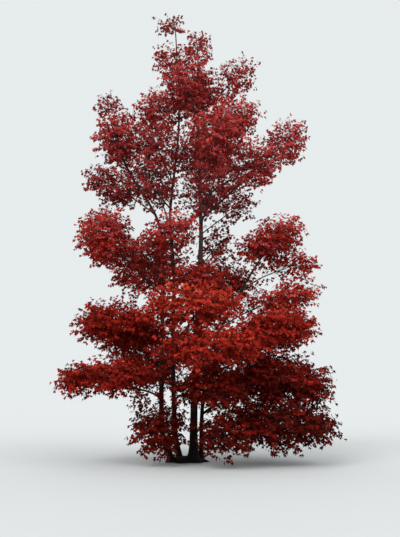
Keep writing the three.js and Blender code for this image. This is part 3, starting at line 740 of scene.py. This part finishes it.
def bark_limb(name, curve, radius_at, rings, sides, relief, flare=0.0):
    """A limb along a curve, with the bark's relief."""
    places, length = along(curve, np.linspace(0, 1, GUIDE_PLACES_PER_RING * rings + 1))
    shares = np.linspace(0, 1, rings + 1)
    limb = drawn_out(name, [radius_at(share) for share in shares], shares * length, sides)
    draw_toes(limb, FLARE["toes"], FLARE["toe_depth"], FLARE["height"], flare / (1 + flare))
    smooth = limb.modifiers.new("smooth", "SUBSURF")
    smooth.levels = smooth.render_levels = 1
    smooth.use_limit_surface = False
    raise_bark(limb, relief)
    bend_to(limb, places)
    finish_bark(limb)
    return limb


def stem_radius(stem, height, length):
    plain = stem["foot"] + (stem["tip"] - stem["foot"]) * (height / length) ** STEM_LIMB["taper"]
    return plain * (1 + stem["flare"] * math.exp(-height / FLARE["height"]))


def stem_piece(name):
    stem = STEMS[name]
    curve = stem_curve(stem["way"])
    length = length_of(curve)
    limb = bark_limb(f"{name}_bark", curve, lambda share: stem_radius(stem, share * length, length),
                     rings=int(length * STEM_LIMB["rings_per_metre"]), sides=STEM_LIMB["sides"],
                     relief=STEM_LIMB["relief"] * stem["foot"], flare=stem["flare"])
    settle(limb, "bark", [name])


def collar(name):
    """The swollen foot of a stem, where it runs into the stool."""
    stem = STEMS[name]
    curve = stem_curve(stem["way"])
    length = length_of(curve)
    heights = np.linspace(0, COLLAR["height"], COLLAR["rings"])
    fading = np.linspace(COLLAR["wider"], COLLAR["narrower"], COLLAR["rings"])
    radii = [stem_radius(stem, height, length) * wider for height, wider in zip(heights, fading)]
    foot = drawn_out(f"{name}_collar", radii, heights, COLLAR["sides"])
    draw_toes(foot, FLARE["toes"], FLARE["toe_depth"], FLARE["height"], stem["flare"] / (1 + stem["flare"]))
    bend_to(foot, along(curve, np.linspace(0, COLLAR["height"] / length, COLLAR["bends"]))[0])
    return foot


def stool_piece():
    """The mound and the stems' swollen feet, melted into one surface with the bark's relief."""
    radii, heights = zip(*STOOL["profile"])
    stool = drawn_out("stool_bark", radii, heights, STOOL["sides"])
    draw_toes(stool, STOOL["toes"], STOOL["toe_depth"], fading=1.0, share=1.0)
    places = corners_of(stool) * (*STOOL["half"], STOOL["height"]) + (*STOOL["centre"], 0)
    set_corners(stool, places)
    feet = [collar(name) for name in STEMS]
    deselect_all()
    for piece in (*feet, stool):
        piece.select_set(True)
    bpy.context.view_layer.objects.active = stool
    bpy.ops.object.join()
    melted = stool.modifiers.new("melted", "REMESH")
    melted.mode = "VOXEL"
    melted.voxel_size = MELT["voxel"]
    softened = stool.modifiers.new("softened", "SMOOTH")
    softened.iterations = MELT["smoothing"]
    raise_bark(stool, MELT["relief"])
    apply_all(stool)
    bpy.ops.object.mode_set(mode="EDIT")
    bpy.ops.mesh.select_all(action="SELECT")
    bpy.ops.mesh.bisect(plane_co=(0, 0, 0), plane_no=(0, 0, 1), use_fill=True, clear_inner=True)
    bpy.ops.object.mode_set(mode="OBJECT")
    finish_bark(stool)
    settle(stool, "bark", ["trunk"])


def bough_piece(laid):
    curve = laid["bough"]
    length = length_of(curve)

    def radius_at(share):
        return laid["thick"] + BOUGH_LIMB["taper"] * length * (1 - share)

    rings = max(BOUGH_LIMB["fewest_rings"], int(length * BOUGH_LIMB["rings_per_metre"]))
    limb = bark_limb(f"{laid['name']}_bough_bark", curve, radius_at, rings, sides=BOUGH_LIMB["sides"],
                     relief=BOUGH_LIMB["relief"])
    settle(limb, "bark", [f"bough_{laid['name']}"])


# Twigs and leaves
def leaf_template():
    """The outline of a three-lobed leaf about its midrib: side, along and up, for a blade of length one."""
    half = [(0.25, -0.05, 0.5), (0.56, 0.44, 1.0), (0.2, 0.5, 0.45)]
    middle = [(0, 0, 0), (0, 0.36, -0.25), (0, 1, -1)]
    stalk = [(0, 0, 0), (0.03, -0.01, 0)]
    corners = middle + half + [(-x, y, z) for x, y, z in half] + stalk
    faces = [(0, 3, 1), (3, 4, 1), (4, 5, 1), (5, 2, 1), (0, 1, 6), (6, 1, 7), (7, 1, 8), (8, 1, 2),
             (9, 10, 0)]
    return np.array(corners, float), np.array(faces)


LEAF_CORNERS, LEAF_FACES = leaf_template()

# The corner of the stalk that sits on the shoot
STALK_CORNER = 9


def add_leaves(joined, roots, stalks, ways, faces_to, lengths):
    """Leaves from their stalks' roots. ways: base to tip; faces_to: where the upper sides look."""
    sides = unit(np.cross(ways, faces_to))
    normals = np.cross(sides, ways)
    corners = np.repeat(LEAF_CORNERS[None], len(roots), axis=0)
    x = corners[..., 0:1] * BLADE["width"]
    z = corners[..., 2:3] * np.where(corners[..., 2:3] > 0, BLADE["fold"], BLADE["tip_down"])
    size = lengths[:, None, None]
    blade = (x * sides[:, None] + corners[..., 1:2] * ways[:, None] + z * normals[:, None]) * size
    places = (roots + stalks)[:, None] + blade
    places[:, STALK_CORNER] = roots
    joined.add(places, LEAF_FACES)


class Piles:
    """Joined pieces of one kind, each with the masses it stands for. A new one is begun when one is full."""

    def __init__(self):
        self.joined = [Joined()]
        self.masses = [set()]

    def pile(self, mass):
        if self.joined[-1].triangles() > MOST_TRIANGLES:
            self.joined.append(Joined())
            self.masses.append(set())
        self.masses[-1].add(mass)
        return self.joined[-1]

    def finished(self, name, material, slot):
        for number, (joined, masses) in enumerate(zip(self.joined, self.masses), 1):
            if joined.count:
                joined.finished(f"{name}_{number}", material, slot, sorted(masses))


class Crown:
    """The wood and the leaves of all masses, gathered by kind."""

    def __init__(self):
        self.branches = Joined()
        self.twigs = Piles()
        self.leaves = {tint: Piles() for tint in TINTS}


def turned(vectors, axes, angles):
    """Vectors turned about unit axes."""
    angles = np.asarray(angles)[..., None]
    return (vectors * np.cos(angles) + np.cross(axes, vectors) * np.sin(angles)
            + axes * (axes * vectors).sum(-1, keepdims=True) * (1 - np.cos(angles)))


def mass_twigs(laid, crown):
    """A mass's stem and first twigs, by the frame's own rule. Returns them as rows of places."""
    number = laid["number"]
    centre = CENTRES[number]
    stem = along(laid["stem"], STEM_SHARES)[0]
    ends = 1 + (MASS_STEM["tip_share"] - 1) * STEM_SHARES
    add_tubes(crown.branches, stem[None], (laid["thick"] * ends)[None], MASS_STEM["sides"])
    limbs = [stem]
    count = int(min(TWIG["most"], TWIG["least"] + TWIG["per_metre"] * MEAN_SIZES[number]) + 0.5)
    stretched = SIZES[number] / MEAN_SIZES[number]
    for twig, way in enumerate(even_ways(count, number)):
        dice = Dice(number * 100 + twig + 1)
        reach = TWIG["reach"] + dice.between(-TWIG["wander"], TWIG["wander"])
        away = own_offsets(number, stretched * way)[0]
        target = centre + away * reach
        nearest = STEM_SHARES[np.linalg.norm(stem - target, axis=1).argmin()]
        share = min(max(nearest - TWIG["behind"], TWIG["first"]), TWIG["last"])
        root = along(laid["stem"], [share])[0][0]
        end = np.clip(target + away * TWIG["beyond"], LOWEST, HIGHEST)
        leaving, arriving = root + (target - root) * TWIG["leaving"], target + UP * TWIG["arch"]
        way = bent(root, leaving, arriving, end)(STEM_SHARES)
        radii = np.linspace(TWIG["thick"], TWIG["thin"], len(way))
        add_tubes(crown.branches, way[None], radii[None], TWIG["sides"])
        limbs.append(way)
    return limbs


def even_ways(count, first):
    """Ways spread evenly all round, each a golden turn on from the last."""
    order = np.arange(count)
    rise = 1 - 2 * (order + 0.5) / count
    turn = order * GOLDEN_TURN + first
    ring = np.sqrt(1 - rise**2)
    return np.stack([ring * np.cos(turn), ring * np.sin(turn), rise], axis=1)


def lobes_of(number, away, dice):
    """How far a mass's lobes let its sprays reach each way, and the tones of those lobes."""
    count = LOBE["least"] + int(LOBE["per_metre"] * MEAN_SIZES[number])
    jitter = dice.rolls(count, 3, low=-1)
    lobes = unit(even_ways(count, number * LOBE["turn"]) + jitter * LOBE["scatter"])
    reaches = 1 - LOBE["uneven"] * dice.rolls(count)
    tones = LOBE["tone"] * dice.rolls(count, low=-1)
    closeness = away @ lobes.T
    nearest = closeness.argmax(axis=1)
    swell = np.clip(1 - (1 - closeness.max(axis=1)) / LOBE["fade"], 0, 1)
    outline = LOBE["drawn_in"] + (1 - LOBE["drawn_in"]) * swell
    return outline * reaches[nearest], tones[nearest]


def branchlet_targets(number, full, dice):
    """Places spread through a mass's space by the same turn as its twigs, with their lobes' tones."""
    volume = 4 / 3 * math.pi * SIZES[number].prod()
    count = max(BRANCHLET["fewest"], int(volume * BRANCHLET["per_cubic_metre"] * full + 0.5))
    away = unit(even_ways(count, number) + dice.rolls(count, 3, low=-1) * BRANCHLET["scatter"])
    rolls = dice.rolls(count)
    wander = dice.rolls(count, low=-1) * BRANCHLET["wander"]
    outline, tones = lobes_of(number, away, dice)
    gathered = (BRANCHLET["inmost"] + (1 - BRANCHLET["inmost"]) * rolls) ** BRANCHLET["gather"]
    reach = gathered * BRANCHLET["reach"] * outline + wander
    targets = CENTRES[number] + own_offsets(number, away * reach[:, None])
    kept = owned(number, targets, *MINGLE["target"]) & in_box(targets)
    return zip(targets[kept], tones[kept])


def stray_targets(limb, dice):
    """Places beside a mass's limb, on its way from the stem to the mass."""
    count = 1 + int(STRAY["per_metre"] * (1 - STRAY["first"]) * length_of(limb))
    shares = dice.rolls(count, low=STRAY["first"])
    off = unit(dice.rolls(count, 3, low=-1))
    reach = dice.rolls(count, low=STRAY["least_off"]) * STRAY["off"]
    targets = along(limb, shares)[0] + off * reach[:, None]
    return targets[in_box(targets) & (targets[:, 2] > STRAY["off"])]


def spray_tints(number, target, lobe_tone, dice):
    """The tints a spray is dealt from, and its place among them: painted light above and painted shade
    behind.
    """
    mass = MASSES[NAMES[number]]
    place = (target - CENTRES[number]) / SIZES[number]
    # Painted light and shade: the mass's tone is partly painted shade, and the spray is brighter towards the
    # top and darker towards the back
    tone = mass["tone"] + lobe_tone + TONE_AND_PAINTED_LIGHT["above"] * place[2] + TONE_AND_PAINTED_LIGHT["behind"] * place[1]
    tone += dice.between(-TONE_AND_PAINTED_LIGHT["stray"], TONE_AND_PAINTED_LIGHT["stray"])
    warmth = (WARMTH["none_above"] - target[2]) / (WARMTH["none_above"] - WARMTH["all_below"])
    tints = WARM_TINTS if dice.roll() < warmth else COOL_TINTS
    return list(tints), min(max(tone, 0.0), TONE_AND_PAINTED_LIGHT["most"]) * (len(tints) - 1)


def branchlet_way(limbs, centre, target):
    """A branchlet that leaves the nearest limb a little behind its target: its places and radii, the way it
    heads at its tip, and the way outwards there."""
    behind = BRANCHLET_WAY["behind"]
    nearby = np.concatenate([limb[behind:] for limb in limbs])
    roots = np.concatenate([limb[:-behind] for limb in limbs])
    nearest = np.linalg.norm(nearby - target, axis=1).argmin()
    root = roots[nearest]
    limb_way = unit(nearby[nearest] - root)
    length = np.linalg.norm(target - root)
    outward = unit(target - centre + limb_way * BRANCHLET_WAY["with_limb"])
    ahead = unit(unit(target - root) * BRANCHLET_WAY["straight"] + outward * BRANCHLET_WAY["outward"])
    leaving = root + limb_way * length * BRANCHLET_WAY["leaving"] + UP * length * BRANCHLET_WAY["arch"]
    arriving = target - ahead * length * BRANCHLET_WAY["arriving"]
    places = bent(root, leaving, arriving, target)(BRANCHLET_SHARES)
    thickness = BRANCHLET_WAY["least_thick"] + BRANCHLET_WAY["thicker"] * min(length, 1)
    radii = np.interp(BRANCHLET_SHARES, (0, 1), (BRANCHLET_WAY["root"], BRANCHLET_WAY["tip"])) * thickness
    return places, radii, ahead, outward


def spray_plane(flat, ahead, outward, dice):
    """The way a spray heads and the normal of its plane, which is level in a flat mass and otherwise tilted
    at random."""
    heading = unit(ahead * (1, 1, 1 - PLANE["levelled"] * flat) - UP * PLANE["droop"] * flat)
    random_way = dice.rolls(3, low=-1)
    normal = unit(UP + outward * PLANE["outward"] + random_way * (1 - flat) * PLANE["tilt"])
    return heading, unit(normal - heading * (normal @ heading))


def spread_shoots(number, branchlet, heading, normal, dice, stray):
    """Shoots that leave a branchlet to both sides in the spray's plane: their starts, ends and ways."""
    count = SHOOT["fewest"] + int(dice.roll() * (SHOOT["most"] - SHOOT["fewest"] + 1))
    order = np.arange(count)
    shares = SHOOT["first"] + (1 - SHOOT["first"]) * (order + 1) / count
    side = np.where(order % 2 == 0, 1.0, -1.0)
    rolls = dice.rolls(count, 4)
    spread = side * SHOOT["spread"] * (1 - shares**3)
    fans = (spread * (SHOOT["least_spread"] + SHOOT["spread_range"] * rolls[:, 0])
            + SHOOT["swerve"] * (rolls[:, 1] - 0.5))
    lengths = SHOOT["short"] + (SHOOT["long"] - SHOOT["short"]) * rolls[:, 2]
    starts = np.stack([np.interp(shares, BRANCHLET_SHARES, branchlet[:, axis]) for axis in range(3)], axis=1)
    ways = turned(np.repeat(heading[None], count, 0), normal[None], fans)
    ways = unit(ways + UP * SHOOT["rise"] * (rolls[:, 3:4] - SHOOT["falling"]))

    # A shoot that finds no room is shortened, and left out if it still finds none
    spans = ways * lengths[:, None]
    ends, shorter = starts + spans, starts + spans * SHOOT["shortened"]
    roomy, kept = in_box(ends), in_box(shorter)
    if not stray:
        roomy &= owned(number, ends, *MINGLE["shoot"])
        kept = roomy | (kept & owned(number, shorter, *MINGLE["short_shoot"]))
    ends = np.where(roomy[:, None], ends, shorter)
    return starts[kept], ends[kept], ways[kept]


def leaf_roots(starts, ends, ways, normal):
    """Where leaves grow on shoots, in opposite pairs and one at the end of each, and the ways they head."""
    across = np.cross(ways, normal)
    roots, outs = [], []
    for pair, share in enumerate(PAIR["at"]):
        lateral = across if pair % 2 == 0 else across * PAIR["across"] + normal * PAIR["turned_out"]
        for hand in (1, -1):
            roots.append(starts + (ends - starts) * share)
            outs.append(lateral * hand + ways * (PAIR["ahead"] + PAIR["further_ahead"] * share))
    roots.append(ends)
    outs.append(ways)
    return np.concatenate(roots), unit(np.concatenate(outs))


def leaf_ways(outs, outward, flat, seed):
    """The leaves' stalks, the ways of their blades and of their upper sides, and the blades' lengths."""
    count = len(outs)
    stalk_ways = unit(outs + seed.normal(size=(count, 3)) * STALK["scatter"] + UP * STALK["rise"])
    stalks = stalk_ways * seed.uniform(STALK["short"], STALK["long"], (count, 1))
    droop = seed.uniform(HANG["least"], HANG["most"], (count, 1))
    droop *= HANG["loose"] - HANG["less_if_flat"] * flat
    blade_ways = unit(stalk_ways + seed.normal(size=(count, 3)) * HANG["scatter"] - UP * droop)
    upper_sides = unit(UP * UPPER_SIDE["up"] + outward * UPPER_SIDE["outward"]
                       + seed.normal(size=(count, 3)) * UPPER_SIDE["scatter"])
    return stalks, blade_ways, upper_sides, seed.uniform(BLADE["short"], BLADE["long"], count)


def grow_spray(laid, limbs, target, lobe_tone, dice, crown, stray=False):
    """A branchlet, the shoots that spread from it in one plane, and their leaves. A stray one hangs outside
    the mass, along its limb."""
    name, number = laid["name"], laid["number"]
    flat = MASSES[name]["flat"]
    branchlet, radii, ahead, outward = branchlet_way(limbs, CENTRES[number], target)
    twigs = crown.twigs.pile(name)
    add_tubes(twigs, branchlet[None], radii[None], BRANCHLET_WAY["sides"])
    heading, normal = spray_plane(flat, ahead, outward, dice)
    starts, ends, ways = spread_shoots(number, branchlet, heading, normal, dice, stray)
    count = len(starts)
    if not count:
        return
    add_tubes(twigs, np.stack([starts, ends], axis=1), np.full((count, 2), SHOOT["thick"]), SHOOT["sides"])

    # The leaves of a shoot all take the spray's tint, or all the next one
    tints, place = spray_tints(number, target, lobe_tone, dice)
    seed = np.random.default_rng(int(dice.roll() * 1e6))
    roots, outs = leaf_roots(starts, ends, ways, normal)
    stalks, blade_ways, upper_sides, blades = leaf_ways(outs, outward, flat, seed)
    dealt = np.floor(place + seed.uniform(0, 1, count)).clip(0, len(tints) - 1).astype(int)
    shoot_of = np.tile(np.arange(count), len(roots) // count)
    within = in_box(roots + stalks + blade_ways * blades[:, None])
    for tint in np.unique(dealt):
        taken = (dealt[shoot_of] == tint) & within
        if taken.any():
            add_leaves(crown.leaves[tints[tint]].pile(name), roots[taken], stalks[taken],
                       blade_ways[taken], upper_sides[taken], blades[taken])


def grow_crown(layout):
    crown = Crown()
    for laid in layout:
        number = laid["number"]
        limbs = mass_twigs(laid, crown)
        dice = Dice(number * 1000 + 77)
        full = MASSES[laid["name"]]["full"]
        for target, lobe_tone in branchlet_targets(number, full, dice):
            grow_spray(laid, limbs, target, lobe_tone, dice, crown)
        limb = laid["bough"] or laid["stem"]
        ways = [along(limb, np.linspace(0, 1, 3 * len(STEM_SHARES)))[0]]
        for target in stray_targets(limb, dice):
            grow_spray(laid, ways, target, 0.0, dice, crown, stray=True)
    crown.branches.finished("branches", BRANCH_BARK, "bark", NAMES)
    crown.twigs.finished("twigs", TWIG_BARK, "bark")
    for tint, piles in crown.leaves.items():
        piles.finished(f"leaves_{tint}", LEAF_TINTS[tint], "leaves")


layout = [lay_out(number) for number in range(len(NAMES))]
for name in STEMS:
    stem_piece(name)
stool_piece()
for laid in layout:
    if laid["bough"]:
        bough_piece(laid)
grow_crown(layout)
bpy.data.objects.remove(STRETCHED)


# Floor, lights and camera
FLOOR = {"radius": 120, "sides": 96, "below": 0.004}


def floor():
    deselect_all()
    bpy.ops.mesh.primitive_circle_add(vertices=FLOOR["sides"], radius=FLOOR["radius"], fill_type="NGON",
                                      location=(0, 0, -FLOOR["below"]))
    ground = bpy.context.object
    ground.name = "floor"
    material, _, _, shader = new_material("pale_floor")
    shader.inputs["Base Color"].default_value = (0.62, 0.63, 0.63, 1)
    shader.inputs["Roughness"].default_value = 0.9
    ground.data.materials.append(material)


# Two soft suns: name, turn in degrees, strength and the angle in degrees that each spreads over
SUNS = (("key", (52, 0, -32), 1.6, 40), ("fill", (66, 0, 44), 1.2, 60))


def lights():
    world = bpy.data.worlds.new("pale_sky")
    bpy.context.scene.world = world
    world.use_nodes = True
    sky = world.node_tree.nodes["Background"]
    sky.inputs["Color"].default_value = (0.84, 0.88, 0.89, 1)
    sky.inputs["Strength"].default_value = 0.95
    for name, turn, strength, angle in SUNS:
        light = bpy.data.lights.new(name, "SUN")
        light.energy = strength
        light.angle = math.radians(angle)
        lamp = bpy.data.objects.new(name, light)
        lamp.rotation_euler = [math.radians(degrees) for degrees in turn]
        bpy.context.scene.collection.objects.link(lamp)


# The photograph's own view, from eye height: place, by how many degrees it looks up, and focal length and
# height of the frame in pixels
EYE = (0.171, -17, 1.7)
LOOKS_UP = 11.62
FOCAL_PIXELS = 620
FRAME_HEIGHT = 537
SENSOR = 36.0


def camera():
    view = bpy.data.cameras.new("camera")
    view.sensor_width = SENSOR
    view.lens = SENSOR * FOCAL_PIXELS / FRAME_HEIGHT
    view.clip_end = 400
    seen_from = bpy.data.objects.new("camera", view)
    seen_from.location = EYE
    seen_from.rotation_euler = (math.radians(90 + LOOKS_UP), 0, 0)
    bpy.context.scene.collection.objects.link(seen_from)
    bpy.context.scene.camera = seen_from


floor()
lights()
camera()
bpy.context.scene.view_settings.view_transform = "Standard"
